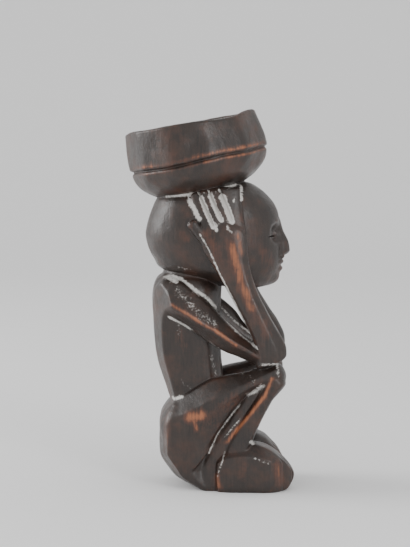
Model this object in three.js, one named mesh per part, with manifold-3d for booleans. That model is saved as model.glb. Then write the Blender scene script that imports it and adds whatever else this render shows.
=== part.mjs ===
// A small grinding bowl carried on the head of a squatting figure, carved from one block of
// dark wood. The figure rests its elbows on its knees and holds its head between its hands.
// Millimetres, +Z up, +X the way the figure looks, +Y its left, origin on the ground.
import * as THREE from "three";
import { mergeVertices } from "three/addons/utils/BufferGeometryUtils.js";
import Module from "manifold-3d";

const wasm = await Module();
wasm.setup();

// The bowl, turned round its own leaning axis. Heights are measured from the ridge.
const TILT = THREE.MathUtils.degToRad(11); // its front is higher than its back
const ROLL = THREE.MathUtils.degToRad(1.2); // and leans to the left by this
const RIDGE_CENTRE = [-5.2, 0, 161.3];
const RIDGE_RADIUS = 34.6;
const RIM_RADIUS = 32.9;
const BAND_HEIGHT = 19.8;
const CUP_HEIGHT = 18.3;
const WALL = 4.6;
const CAVITY_DEPTH = 25;
const RIM_DRIFT = -1.2; // the rim's middle lies this far behind the axis
const FOOT_DRIFT = -2.5; // and so does the foot of the cup
const BOWL_SIDES = 36;

// The heights below are measured from a level 1 mm above the ground that the block stands on.
const GROUND = -1;

// The figure's face is set out by the usual halves and thirds.
const CROWN_Z = 152;
const CHIN_Z = 98.5;
const EYE_Z = (CROWN_Z + CHIN_Z) / 2;
const BROW_Z = EYE_Z + 6.5;
const NOSE_Z = (BROW_Z + CHIN_Z) / 2;
const MOUTH_Z = NOSE_Z - (NOSE_Z - CHIN_Z) / 3;
const FACE_X = 35.5;
const EYE_Y = 10;

// The two sides differ a little: the left elbow crook is filled higher and the left foot is
// shorter and has a higher instep.
const SIDES = [
  { sign: 1, crook: 4, reach: 1.2, toeX: 38.2, instep: 1.6 },
  { sign: -1, crook: 0, reach: 0, toeX: 41.8, instep: 0 },
];

const UP = new THREE.Vector3(0, 0, 1);
const FORWARD = new THREE.Vector3(1, 0, 0);
const LEFT = new THREE.Vector3(0, 1, 0);

// Smoothly joined values of a table of rows, each row starting with its place along the axis.
function between(rows, s) {
  const last = rows.length - 1;
  let i = 0;
  while (i < last - 1 && s > rows[i + 1][0]) i++;
  const [a, b] = [rows[i], rows[i + 1]];
  const before = rows[Math.max(i - 1, 0)];
  const after = rows[Math.min(i + 2, last)];
  const step = b[0] - a[0];
  const t = THREE.MathUtils.clamp((s - a[0]) / step, 0, 1);
  const bend = t * t * (3 - 2 * t);
  return a.slice(1).map((start, k) => {
    const end = b[k + 1];
    const slopeIn = ((end - before[k + 1]) / (b[0] - before[0])) * step;
    const slopeOut = ((after[k + 1] - start) / (after[0] - a[0])) * step;
    return start + (end - start) * bend + t * (1 - t) * ((1 - t) * slopeIn - t * slopeOut);
  });
}

// A closed three.js geometry as a solid with its faces pointing out.
function solid(geometry) {
  geometry.deleteAttribute("normal");
  geometry.deleteAttribute("uv");
  const merged = mergeVertices(geometry, 1e-4);
  const place = merged.attributes.position;
  const corner = [0, 1, 2].map(() => new THREE.Vector3());
  const triVerts = [];
  let volume = 0;
  for (let i = 0; i < merged.index.count; i += 3) {
    const ids = [0, 1, 2].map((k) => merged.index.getX(i + k));
    if (new Set(ids).size < 3) continue;
    triVerts.push(...ids);
    corner.forEach((c, k) => c.fromBufferAttribute(place, ids[k]));
    volume += corner[0].dot(corner[1].cross(corner[2]));
  }
  if (volume < 0) triVerts.reverse();
  const mesh = { numProp: 3, vertProperties: place.array, triVerts: new Uint32Array(triVerts) };
  return new wasm.Manifold(new wasm.Mesh(mesh));
}

function join(parts) {
  return parts.reduce((whole, part) => whole.add(part));
}

// The rings of a sphere drawn out along a line. sectionAt gives, for a place along it, the
// middle, the two directions across and the reaches [ahead, behind, outer, inner]. A power of
// 2 is round, more is boxy and less has ridges: the first is for the half ahead, the second
// for the half behind. cap is the length over which each end closes.
function loft(length, sectionAt, { power = [2, 2], cap = [3, 3], sides = 16, rings = 10 }) {
  const geometry = new THREE.SphereGeometry(1, sides, rings);
  const place = geometry.attributes.position;
  const signed = (value, exponent) => Math.sign(value) * Math.abs(value) ** exponent;
  for (let i = 0; i < place.count; i++) {
    const s = ((1 + place.getY(i)) / 2) * length;
    const { middle, u, v, reach } = sectionAt(s);
    const [ahead, behind, outer, inner] = reach;
    const end = Math.max((cap[0] - s) / cap[0], (s - length + cap[1]) / cap[1], 0);
    const size = Math.sqrt(Math.max(1 - end * end, 0));
    const ring = Math.hypot(place.getX(i), place.getZ(i));
    const [c, d] = ring < 1e-6 ? [0, 0] : [place.getX(i) / ring, place.getZ(i) / ring];
    const exponent = 2 / (c > 0 ? power[0] : power[1]);
    const a = signed(c, exponent) * (c > 0 ? ahead : behind) * size;
    const b = signed(d, exponent) * (d > 0 ? outer : inner) * size;
    place.setXYZ(i, ...middle.clone().addScaledVector(u, a).addScaledVector(v, b).toArray());
  }
  return solid(geometry);
}

// A mass along a straight axis, with rows [place, ahead, behind, outer, inner].
function limb({ from, to, ahead, out, rows, ...shape }) {
  const start = new THREE.Vector3(...from);
  const along = new THREE.Vector3(...to).sub(start);
  const length = along.length();
  along.normalize();
  const u = ahead.clone().addScaledVector(along, -ahead.dot(along)).normalize();
  const v = out.clone().addScaledVector(along, -out.dot(along));
  v.addScaledVector(u, -v.dot(u)).normalize();
  const sectionAt = (s) => ({
    middle: start.clone().addScaledVector(along, s),
    u,
    v,
    reach: between(rows, s),
  });
  return loft(length, sectionAt, shape);
}

// An upright mass of level sections, with rows [height, back x, widest x, front x, half width].
function column({ rows, ...shape }) {
  const base = rows[0][0];
  const sectionAt = (s) => {
    const [back, widest, front, half] = between(rows, base + s);
    return {
      middle: new THREE.Vector3(widest, 0, base + s),
      u: FORWARD,
      v: LEFT,
      reach: [front - widest, widest - back, half, half],
    };
  };
  return loft(rows[rows.length - 1][0] - base, sectionAt, shape);
}

function ball(centre, radii, sides = 12, rings = 7) {
  const geometry = new THREE.SphereGeometry(1, sides, rings);
  geometry.scale(...radii);
  geometry.translate(...centre);
  return solid(geometry);
}

// The rim wanders up and down a little, as cut by eye, and the middle drifts back at both ends.
function turned(profile, wander) {
  const points = profile.map(([r, h]) => new THREE.Vector2(r, h));
  const geometry = new THREE.LatheGeometry(points, BOWL_SIDES);
  const place = geometry.attributes.position;
  for (let i = 0; i < place.count; i++) {
    const [x, h, y] = [place.getX(i), place.getY(i), place.getZ(i)];
    const angle = Math.atan2(y, x);
    const upper = THREE.MathUtils.smoothstep(h, -4, 6) * Math.min(Math.hypot(x, y) / RIM_RADIUS, 1);
    const rise = wander * upper * (Math.sin(3 * angle + 0.6) + 0.6 * Math.sin(5 * angle));
    const drift = h > 0 ? (RIM_DRIFT * h) / BAND_HEIGHT : (-FOOT_DRIFT * h) / CUP_HEIGHT;
    place.setXYZ(i, x + drift, -y, h + rise);
  }
  geometry.rotateY(-TILT);
  geometry.rotateX(-ROLL);
  geometry.translate(...RIDGE_CENTRE);
  return solid(geometry);
}

function bowlOutside() {
  const profile = [[0, -CUP_HEIGHT]];
  const steps = 8;
  for (let i = 2; i < steps; i++) {
    const h = -CUP_HEIGHT * Math.cos(((i / steps) * Math.PI) / 2);
    profile.push([(RIDGE_RADIUS - 0.6) * Math.sqrt(1 - (h / CUP_HEIGHT) ** 2), h]);
  }
  profile.push([RIDGE_RADIUS - 0.8, -0.6], [RIDGE_RADIUS - 1.4, 0.2], [RIDGE_RADIUS + 0.3, 1.4]);
  profile.push([RIDGE_RADIUS + 0.2, BAND_HEIGHT * 0.3], [RIDGE_RADIUS - 0.5, BAND_HEIGHT * 0.6]);
  profile.push([RIM_RADIUS, BAND_HEIGHT - 1], [RIM_RADIUS - 1, BAND_HEIGHT], [0, BAND_HEIGHT]);
  return turned(profile, 0.5);
}

function bowlCavity() {
  const mouth = RIM_RADIUS - WALL;
  const floor = BAND_HEIGHT - CAVITY_DEPTH;
  const profile = [[0, floor]];
  const steps = 6;
  for (let i = 1; i <= steps; i++) {
    const a = ((i / steps) * Math.PI) / 2;
    profile.push([mouth * Math.sin(a) ** 0.8, floor + (CAVITY_DEPTH - 4) * (1 - Math.cos(a))]);
  }
  profile.push([mouth + 1.4, BAND_HEIGHT + 0.6], [mouth + 1.4, BAND_HEIGHT + 6], [0, BAND_HEIGHT + 6]);
  return turned(profile, 0);
}

function torso() {
  const rows = [
    [36, -17, -8, 6, 15],
    [42.5, -19.9, -9, 6.3, 16.5],
    [52, -23, -10, 6.6, 18],
    [62.6, -26.4, -12, 5.8, 19],
    [71, -27.7, -13, 5.2, 20],
    [83, -28.5, -14, 4.8, 21.5],
    [94, -29, -14, 4.7, 22],
    [101, -27.8, -13, 3, 20.5],
    [107.5, -23.5, -12, -3, 15],
  ];
  return column({ rows, power: [2.5, 2.9], cap: [3, 5], sides: 24, rings: 11 });
}

function pelvis() {
  const rows = [
    [-5, -5, -3, 3, 8],
    [-1, -10.6, -6, 3.6, 15],
    [1, -14.2, -8, 4, 19],
    [5.7, -18.8, -10, 5, 23],
    [11.1, -23.4, -11, 6, 24.6],
    [16, -25.4, -12, 6.5, 25.3],
    [27, -25.6, -12, 6.5, 25.5],
    [34, -25.2, -12, 6.5, 24],
    [38.4, -23.2, -11, 6, 21.5],
    [43.5, -19.3, -10, 5, 16.5],
  ];
  return column({ rows, power: [2.4, 2.6], cap: [4, 2.5], sides: 24, rings: 11 });
}

function neck() {
  const rows = [
    [88, -20, -8, 4.7, 13],
    [97, -22, -8, 5.6, 14],
    [106, -23.4, -8, 7, 16],
    [114, -22, -8, 9, 17],
  ];
  return column({ rows, power: [2.2, 2.2], sides: 14, rings: 5 });
}

function skull() {
  const rows = [
    [97.4, 12, 18, 25, 8],
    [100, 2, 14, 30.4, 13.5],
    [104, -14, 8, 33.4, 18.2],
    [108, -24.5, 3, 35, 21.5],
    [113, -28, 0, 35.4, 23.4],
    [118, -30.5, -1, 35.4, 24.6],
    [124, -31.9, -2, 35.2, 25.2],
    [130, -31.3, -2, 34.8, 25.3],
    [137.4, -29, -2, 33.4, 24.4],
    [143.6, -26, -2, 29.2, 22.2],
    [149, -20, -2, 22.6, 18],
    [153, -12, 0, 14, 11],
  ];
  return column({ rows, power: [2.15, 2.15], cap: [2.5, 3], sides: 26, rings: 15 });
}

function features() {
  const nose = limb({
    from: [FACE_X - 3.4, 0, BROW_Z + 2],
    to: [FACE_X - 0.6, 0, NOSE_Z - 1.4],
    ahead: FORWARD,
    out: LEFT,
    power: [1.6, 2],
    cap: [3, 2.6],
    sides: 12,
    rings: 7,
    rows: [
      [0, 2.2, 3, 2.4, 2.4],
      [8, 3.6, 3, 2.8, 2.8],
      [14, 5.4, 3, 4, 4],
      [19.4, 5.6, 3, 5.4, 5.4],
    ],
  });
  const lips = [
    ball([FACE_X - 3, 0, MOUTH_Z + 1.7], [4.2, 7.4, 2.1]),
    ball([FACE_X - 3.4, 0, MOUTH_Z - 1.7], [4.2, 6.4, 2.2]),
  ];
  const chin = ball([FACE_X - 5.4, 0, CHIN_Z + 5.4], [4.4, 7, 3.8]);
  const eyes = SIDES.map(({ sign }) =>
    limb({
      from: [FACE_X - 2.8, sign * (EYE_Y - 5.2), EYE_Z],
      to: [FACE_X - 9, sign * (EYE_Y + 5), EYE_Z - 0.4],
      ahead: UP,
      out: FORWARD,
      cap: [5.7, 5.7],
      sides: 10,
      rings: 7,
      rows: [
        [0, 2.7, 2.3, 1.9, 3],
        [12, 2.7, 2.3, 1.9, 3],
      ],
    }),
  );
  return join([nose, ...lips, chin, ...eyes]);
}

function sockets() {
  const scoops = SIDES.map(({ sign }) =>
    ball([FACE_X + 1.2, sign * (EYE_Y + 0.8), EYE_Z + 0.6], [6.8, 8.6, 5.8], 14, 7),
  );
  return join(scoops);
}

function arm({ sign, crook, reach }) {
  const out = LEFT.clone().multiplyScalar(sign);
  const upper = limb({
    from: [-27.4, sign * 16.2, 97.8],
    to: [27, sign * 23.5, 65.3],
    ahead: UP,
    out,
    power: [1.65, 1.65],
    cap: [14, 3],
    sides: 16,
    rings: 11,
    rows: [
      [0, 12, 7, 8, 8],
      [8.4, 12.4, 6.8, 10.2, 9],
      [15.4, 11, 6.7, 11.4, 9],
      [22.4, 10.1 + crook * 0.4, 6.9, 11.2, 8.5],
      [34.4, 6.8 + crook, 7.4, 9.6, 7.5],
      [42.4, 5 + crook, 7.8, 8.4, 7],
      [50.4, 3.6 + crook * 0.5, 6.6, 7.4, 6.5],
      [63.4, 4, 4.4, 6.8, 6.5],
    ],
  });
  const fore = limb({
    from: [31, sign * 23.5, 61.8],
    to: [4.5, sign * 27, 131.5],
    ahead: FORWARD,
    out,
    power: [2.1, 2.1],
    cap: [3, 11],
    sides: 16,
    rings: 12,
    rows: [
      [0, 7 + reach, 9, 6.5, 6.5],
      [7, 9.2 + reach, 7, 7.4, 7],
      [15, 8.4 + reach, 5, 7.4, 7],
      [24, 7 + reach * 0.5, 5.7, 7, 6.6],
      [34, 5.8, 6.8, 6.4, 6],
      [42, 5.8, 7.8, 5.8, 5.4],
      [51, 6.7, 9.2, 5, 5],
      [60, 9, 10.9, 4.4, 5],
      [68, 10.6, 12.2, 3.8, 5],
      [75, 10.4, 12.2, 3.2, 5],
    ],
  });
  return join([upper, fore]);
}

// A flat hand laid on the side of the head, its four fingers parted by three straight grooves,
// with a short thumb behind them. Grooves are [foot x, foot z, tip x, tip z, half width].
function hand({ sign }) {
  const out = LEFT.clone().multiplyScalar(sign);
  const palm = limb({
    from: [6, sign * 27, 118],
    to: [2.5, sign * 20.6, 149],
    ahead: FORWARD,
    out,
    power: [3.2, 3.2],
    cap: [4, 3],
    sides: 16,
    rings: 8,
    rows: [
      [0, 12, 9.5, 3.4, 5],
      [9, 12.2, 9.6, 3.6, 5],
      [17, 11.8, 9.6, 3.8, 6],
      [26, 12, 12, 3.6, 6],
      [31.7, 11.8, 13, 3.2, 7],
    ],
  });
  const thumb = limb({
    from: [0.5, sign * 26, 119.5],
    to: [-9.8, sign * 25.4, 132.6],
    ahead: FORWARD,
    out,
    power: [2.3, 2.3],
    cap: [2, 2],
    sides: 10,
    rings: 6,
    rows: [
      [0, 3.4, 2.8, 3, 4],
      [9, 3, 2.6, 2.6, 4],
      [16.7, 2.6, 2.4, 2, 4],
    ],
  });
  const grooves = [
    [1.8, 130.4, -7.5, 151, 0.7],
    [5.8, 133.2, -2.6, 152, 0.7],
    [10.8, 132.6, 3.4, 151, 1],
  ];
  const cuts = grooves.map(([footX, footZ, tipX, tipZ, half]) =>
    limb({
      from: [footX, sign * 29, footZ],
      to: [tipX, sign * 24, tipZ],
      ahead: FORWARD,
      out,
      sides: 8,
      rings: 4,
      rows: [
        [0, half, half, 4, 2.2],
        [22, half, half, 4, 2.6],
      ],
    }),
  );
  return palm.subtract(join(cuts)).add(thumb);
}

function leg({ sign, toeX, instep }) {
  const out = LEFT.clone().multiplyScalar(sign);
  const thigh = limb({
    from: [-23, sign * 14, 29.4],
    to: [36, sign * 23.1, 60.8],
    ahead: UP,
    out,
    power: [1.75, 2.6],
    cap: [18, 4],
    sides: 18,
    rings: 11,
    rows: [
      [0, 8.5, 19, 9.4, 12],
      [10.7, 9.6, 22.6, 10.8, 12],
      [20.7, 10.5, 16.6, 11, 11],
      [31.7, 11, 10, 11, 9.5],
      [42.7, 8.8, 4.8, 9.8, 8.4],
      [48.7, 6.8, 3.8, 9, 7.8],
      [54.7, 5.8, 4.4, 8.2, 7.4],
      [60.7, 5, 6.4, 7.6, 7],
      [67.4, 4, 7, 6.8, 6.4],
    ],
  });
  const shin = limb({
    from: [33.5, sign * 23, 58.5],
    to: [13.5, sign * 16.5, 15],
    ahead: FORWARD,
    out,
    power: [2.2, 2.2],
    cap: [4, 3],
    sides: 14,
    rings: 8,
    rows: [
      [0, 4.6, 6, 6.6, 7],
      [4, 5.7, 5, 7.4, 7],
      [9, 4.6, 4.1, 7.4, 7],
      [14, 3.3, 4.6, 7.2, 6.6],
      [30, 2.8, 7.1, 7.2, 6.2],
      [48.3, 4, 9, 8, 6.2],
    ],
  });
  // The wood left between thigh and shin, cut back from both.
  const web = limb({
    from: [27, sign * 19.5, 54],
    to: [-2, sign * 13, -3],
    ahead: FORWARD,
    out,
    power: [3, 3],
    sides: 12,
    rings: 6,
    rows: [
      [0, 5, 5, 4.4, 5],
      [22, 7.4, 7.4, 5.4, 5.5],
      [44, 9.4, 10, 7, 5],
      [64, 10, 11, 6, 5],
    ],
  });
  const toe = toeX - 41.8;
  const foot = limb({
    from: [1.8, sign * 14.8, 7],
    to: [toeX, sign * 15.6, 7],
    ahead: UP,
    out,
    power: [2.9, 2.9],
    cap: [3, 5],
    sides: 20,
    rings: 12,
    rows: [
      [0, 7, 10, 9, 8],
      [5.5, 12.5, 10, 11.5, 9.5],
      [12, 15 + instep, 10, 12.4, 10.5],
      [20 + toe * 0.3, 15.4 + instep, 10, 12.8, 11.6],
      [28 + toe * 0.6, 12.8 + instep, 9.4, 12.9, 12],
      [34 + toe, 8 + instep * 1.4, 8, 12, 11.6],
      [40 + toe, 2.8 + instep, 6.4, 8.4, 8.4],
    ],
  });
  return join([thigh, shin, web, foot]);
}

function carvedFigure() {
  const head = skull().subtract(sockets()).add(features());
  const limbs = SIDES.flatMap((side) => [arm(side), hand(side), leg(side)]);
  const whole = join([torso(), pelvis(), neck(), head, bowlOutside(), ...limbs]);
  const below = new THREE.BoxGeometry(200, 200, 40).translate(0, 0, GROUND - 20);
  return whole.subtract(bowlCavity()).subtract(solid(below));
}

function meshOf(manifold, name, material) {
  const made = manifold.getMesh();
  const geometry = new THREE.BufferGeometry();
  geometry.setAttribute("position", new THREE.BufferAttribute(made.vertProperties, 3));
  geometry.setIndex(new THREE.BufferAttribute(made.triVerts, 1));
  geometry.translate(0, 0, -GROUND);
  geometry.computeVertexNormals();
  const mesh = new THREE.Mesh(geometry, material);
  mesh.name = name;
  return mesh;
}

const darkWood = new THREE.MeshStandardMaterial({ color: 0x35231c, roughness: 0.5, metalness: 0 });
const part = new THREE.Group();
part.add(meshOf(carvedFigure(), "carved_figure_bowl", darkWood));

export default part;
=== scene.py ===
"""The look of a small wooden figure that carries a grinding bowl on its head.

The carved block is one piece. Its masses are the same as in the solid and are joined here
more softly, then cut with finer marks, and dressed in dark wood with dust in its grooves.
Lengths are in millimetres until the mesh is made. Heights are measured from a level 1 mm
above the ground, as in the solid.
"""

import math

import bpy
import numpy as np
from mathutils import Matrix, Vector


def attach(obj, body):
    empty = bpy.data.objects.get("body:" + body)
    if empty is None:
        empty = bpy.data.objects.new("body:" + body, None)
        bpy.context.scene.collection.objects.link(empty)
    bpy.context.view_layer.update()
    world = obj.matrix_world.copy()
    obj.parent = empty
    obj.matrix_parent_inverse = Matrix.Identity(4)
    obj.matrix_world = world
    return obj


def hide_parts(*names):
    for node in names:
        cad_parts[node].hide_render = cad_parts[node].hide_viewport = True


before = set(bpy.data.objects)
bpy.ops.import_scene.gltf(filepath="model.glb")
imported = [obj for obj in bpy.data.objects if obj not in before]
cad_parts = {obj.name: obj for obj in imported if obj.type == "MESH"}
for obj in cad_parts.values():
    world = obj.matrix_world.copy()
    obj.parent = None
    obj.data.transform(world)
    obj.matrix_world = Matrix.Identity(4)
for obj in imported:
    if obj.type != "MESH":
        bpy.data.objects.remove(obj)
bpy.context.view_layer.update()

CELL = 0.5
MOST_TRIANGLES = 194000
GROUND = -1.0
REACH = 6.0
FLAT_EDGE = 0.5

# The bowl.
TILT = math.radians(11)
ROLL = math.radians(1.2)
RIDGE_CENTRE = (-5.2, 0.0, 161.3)
RIDGE_RADIUS = 34.6
RIM_RADIUS = 32.9
BAND_HEIGHT = 19.8
CUP_HEIGHT = 18.3
WALL = 4.6
CAVITY_DEPTH = 25.0
RIM_DRIFT = -1.2
FOOT_DRIFT = -2.5

# The face, set out by the usual halves and thirds.
CROWN_Z = 152.0
CHIN_Z = 98.5
EYE_Z = (CROWN_Z + CHIN_Z) / 2
BROW_Z = EYE_Z + 6.5
NOSE_Z = (BROW_Z + CHIN_Z) / 2
MOUTH_Z = NOSE_Z - (NOSE_Z - CHIN_Z) / 3
FACE_X = 35.5
EYE_Y = 10.0

LEFT_SIDE = {"sign": 1, "crook": 4.0, "reach": 1.2, "toe_x": 38.2, "instep": 1.6}
RIGHT_SIDE = {"sign": -1, "crook": 0.0, "reach": 0.0, "toe_x": 41.8, "instep": 0.0}
SIDES = (LEFT_SIDE, RIGHT_SIDE)

UP = np.array([0.0, 0.0, 1.0])
FORWARD = np.array([1.0, 0.0, 0.0])
LEFT = np.array([0.0, 1.0, 0.0])


# Soft joins and cuts of depths, which are negative inside a form.


def soft_min(a, b, softness):
    h = np.clip(0.5 + 0.5 * (b - a) / softness, 0, 1)
    return b * (1 - h) + a * h - softness * h * (1 - h)


def soft_max(a, b, softness):
    return -soft_min(-a, -b, softness)


def smooth_step(value, low, high):
    t = np.clip((value - low) / (high - low), 0, 1)
    return t * t * (3 - 2 * t)


class Form:
    """A solid given by its depth at points, with the box that holds it."""

    def __init__(self, depth, low, high):
        self.depth = depth
        self.low = np.asarray(low, float) - REACH
        self.high = np.asarray(high, float) + REACH

    def near(self, points):
        return np.all((points > self.low) & (points < self.high), axis=1)

    def at(self, points):
        value = np.full(len(points), REACH, np.float32)
        near = self.near(points)
        if near.any():
            value[near] = np.clip(self.depth(points[near]), -REACH, REACH)
        return value


def assembled(first, *steps):
    """First is joined with each ("add" or "cut", form, softness) in turn.

    The softness is a length, or a function that gives it at points.
    """

    def depth(points):
        value = first.at(points)
        for action, form, softness in steps:
            near = form.near(points)
            if not near.any():
                continue
            own = np.clip(form.depth(points[near]), -REACH, REACH)
            soft = softness(points[near]) if callable(softness) else softness
            if action == "add":
                value[near] = soft_min(value[near], own, soft)
            else:
                value[near] = soft_max(value[near], -own, soft)
        return value

    added = [first] + [form for action, form, _ in steps if action == "add"]
    low = np.min([form.low for form in added], axis=0) + REACH
    high = np.max([form.high for form in added], axis=0) - REACH
    return Form(depth, low, high)


# Masses drawn along a line from rows of sections.


def between(rows, s):
    """Smoothly joined values of rows, each starting with its place along the axis."""
    last = len(rows) - 1
    i = 0
    while i < last - 1 and s > rows[i + 1][0]:
        i += 1
    a, b = rows[i], rows[i + 1]
    before, after = rows[max(i - 1, 0)], rows[min(i + 2, last)]
    step = b[0] - a[0]
    t = min(max((s - a[0]) / step, 0), 1)
    bend = t * t * (3 - 2 * t)
    values = []
    for k in range(1, len(a)):
        slope_in = (b[k] - before[k]) / (b[0] - before[0]) * step
        slope_out = (after[k] - a[k]) / (after[0] - a[0]) * step
        ease = t * (1 - t) * ((1 - t) * slope_in - t * slope_out)
        values.append(a[k] + (b[k] - a[k]) * bend + ease)
    return values


def spread(rows, length, samples=160):
    places = np.linspace(0, length, samples)
    base = rows[0][0]
    table = np.array([between(rows, base + s) for s in places])
    return lambda s: [np.interp(s, places, column) for column in table.T]


def section_depth(s, a, b, reaches, length, power, cap, flats):
    """Depth at s along, a ahead and b outward in a mass whose ends close over the caps.

    Each flat (angle from ahead towards outward, distance) planes the rounded section off at
    that share of its reach.
    """
    ahead, behind, outer, inner = reaches
    front = a > 0
    p = np.where(front, power[0], power[1])
    across_a = np.abs(a) / np.where(front, ahead, behind) + 1e-4
    across_b = np.abs(b) / np.where(b > 0, outer, inner) + 1e-4
    part_a, part_b = across_a**p, across_b**p
    total = part_a + part_b
    cross = total ** (1 / p)
    near_end = s < length / 2
    cap_length = np.where(near_end, cap[0], cap[1])
    end = np.maximum(np.where(near_end, cap[0] - s, s - length + cap[1]) / cap_length, 0)
    size = np.sqrt(cross**2 + end**2)
    slope_a = part_a / across_a / total * cross**2 / np.where(front, ahead, behind)
    slope_b = part_b / across_b / total * cross**2 / np.where(b > 0, outer, inner)
    slope_s = end / cap_length
    steepness = np.sqrt(slope_a**2 + slope_b**2 + slope_s**2) / size
    value = (size - 1) / np.maximum(steepness, 1e-3)
    for degrees, distance in flats:
        c, d = math.cos(math.radians(degrees)), math.sin(math.radians(degrees))
        per_a = c / (ahead if c > 0 else behind)
        per_b = d / (outer if d > 0 else inner)
        flat = (a * per_a + b * per_b - distance) / np.hypot(per_a, per_b)
        value = soft_max(value, flat, FLAT_EDGE)
    return value


def limb(start, end, ahead, out, rows, power=(2, 2), cap=(3, 3), flats=()):
    """A mass along a straight axis, with rows [place, ahead, behind, outer, inner]."""
    start, end = np.array(start, float), np.array(end, float)
    length = np.linalg.norm(end - start)
    along = (end - start) / length
    u = ahead - along * (ahead @ along)
    u /= np.linalg.norm(u)
    v = out - along * (out @ along)
    v -= u * (v @ u)
    v /= np.linalg.norm(v)
    reaches_at = spread(rows, length)

    def depth(points):
        q = points - start
        s = q @ along
        return section_depth(s, q @ u, q @ v, reaches_at(s), length, power, cap, flats)

    widest = max(max(row[1:]) for row in rows)
    return Form(depth, np.minimum(start, end) - widest, np.maximum(start, end) + widest)


def column(rows, power=(2, 2), cap=(3, 3), flats=()):
    """An upright mass with rows [height, back x, widest x, front x, half width]."""
    base = rows[0][0]
    length = rows[-1][0] - base
    values_at = spread(rows, length)

    def depth(points):
        s = points[:, 2] - base
        back, widest, front, half = values_at(s)
        reaches = (front - widest, widest - back, half, half)
        a, b = points[:, 0] - widest, np.abs(points[:, 1])
        return section_depth(s, a, b, reaches, length, power, cap, flats)

    half = max(row[4] for row in rows)
    low = (min(row[1] for row in rows), -half, base)
    high = (max(row[3] for row in rows), half, base + length)
    return Form(depth, low, high)


def ball(centre, radii):
    centre, radii = np.array(centre, float), np.array(radii, float)

    def depth(points):
        q = (points - centre) / radii
        size = np.linalg.norm(q, axis=1) + 1e-4
        steepness = np.linalg.norm(q / radii, axis=1) / size
        return (size - 1) / np.maximum(steepness, 1e-3)

    return Form(depth, centre - radii, centre + radii)


# The bowl, as depths in its own leaning axes.


def bowl_axes(points):
    """The radius, height and angle of points round the bowl's axis; height 0 is the ridge."""
    q = points - np.array(RIDGE_CENTRE)
    y = q[:, 1] * math.cos(ROLL) - q[:, 2] * math.sin(ROLL)
    up = q[:, 1] * math.sin(ROLL) + q[:, 2] * math.cos(ROLL)
    x = q[:, 0] * math.cos(TILT) + up * math.sin(TILT)
    h = -q[:, 0] * math.sin(TILT) + up * math.cos(TILT)
    drift = np.where(h > 0, RIM_DRIFT * h / BAND_HEIGHT, -FOOT_DRIFT * h / CUP_HEIGHT)
    x = x - drift
    return np.hypot(x, y), h, np.arctan2(-y, x)


def bump(value, middle, half):
    return np.exp(-(((value - middle) / half) ** 2))


def rim_rise(radius, h, angle):
    upper = smooth_step(h, -4, 6) * np.minimum(radius / RIM_RADIUS, 1)
    wander = 0.5 * (np.sin(3 * angle + 0.6) + 0.6 * np.sin(5 * angle))
    dip = 1.2 * bump(np.degrees(angle), 50, 22)
    return upper * (wander - dip)


# Flat cuts round the bowl: angle in degrees from the front towards the right, and depth.
BOWL_FLATS = ((27, 1.3), (62, 0.5), (95, 0.35), (128, 0.6), (160, 1.0))
BOWL_FLATS += ((200, 0.5), (235, 0.7), (270, 0.4), (305, 0.7), (338, 0.5))


def bowl_outside():
    band = [(0, -0.6), (1.4, 0.3), (BAND_HEIGHT * 0.3, 0.2), (BAND_HEIGHT * 0.6, -0.5)]
    band += [(BAND_HEIGHT - 1, RIM_RADIUS - RIDGE_RADIUS), (BAND_HEIGHT, RIM_RADIUS - RIDGE_RADIUS - 0.4)]
    heights = [row[0] for row in band]
    radii = [RIDGE_RADIUS + row[1] for row in band]
    cup_radius = RIDGE_RADIUS - 0.6

    def depth(points):
        radius, h, angle = bowl_axes(points)
        h = h - rim_rise(radius, h, angle)
        q, w = radius / cup_radius, h / CUP_HEIGHT
        size = np.hypot(q, w) + 1e-4
        steepness = np.hypot(q / cup_radius, w / CUP_HEIGHT) / size
        cup = (size - 1) / np.maximum(steepness, 1e-3)
        side = radius - np.interp(h, heights, radii)
        value = np.where(h < 0, cup, side)
        x, y = radius * np.cos(angle), radius * np.sin(angle)
        for degrees, cut in BOWL_FLATS:
            a = math.radians(degrees)
            lean = np.where(h > 0, 0.085, -0.35) * h
            flat = x * math.cos(a) + y * math.sin(a) - (RIDGE_RADIUS - cut) + lean
            value = np.where(h > -11, soft_max(value, flat, 0.9), value)
        return soft_max(value, h - BAND_HEIGHT, 1.2)

    reach = RIDGE_RADIUS + 2
    low = np.array(RIDGE_CENTRE) - (reach, reach, CUP_HEIGHT + 6)
    high = np.array(RIDGE_CENTRE) + (reach, reach, BAND_HEIGHT + 9)
    return Form(depth, low, high)


def bowl_cavity():
    mouth = RIM_RADIUS - WALL
    floor = BAND_HEIGHT - CAVITY_DEPTH
    curve = CAVITY_DEPTH - 4

    def depth(points):
        radius, h, _ = bowl_axes(points)
        widest = mouth + np.clip(h - floor - curve, 0, 6) * 0.3
        q = radius / widest + 1e-4
        w = np.maximum(floor + curve - h, 0) / curve
        size = np.sqrt(q**2.5 + w**2)
        steepness = np.hypot(1.25 * q**1.5 / widest, w / curve) / size
        return (size - 1) / np.maximum(steepness, 1e-3)

    low = np.array(RIDGE_CENTRE) - (RIM_RADIUS, RIM_RADIUS, 16)
    high = np.array(RIDGE_CENTRE) + (RIM_RADIUS, RIM_RADIUS, BAND_HEIGHT + 12)
    return Form(depth, low, high)


# The figure's masses.


def torso():
    rows = [
        [36, -17, -8, 6, 15],
        [42.5, -19.9, -9, 6.3, 16.5],
        [52, -23, -10, 6.6, 18],
        [62.6, -26.4, -12, 5.8, 19],
        [71, -27.7, -13, 5.2, 20],
        [83, -28.5, -14, 4.8, 21.5],
        [94, -29, -14, 4.7, 22],
        [101, -27.8, -13, 3, 20.5],
        [107.5, -23.5, -12, -3, 15],
    ]
    flats = ((40, 1.1), (90, 0.97), (152, 1.068), (180, 0.985))
    return column(rows, power=(3.2, 4), cap=(3, 5), flats=flats)


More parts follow.
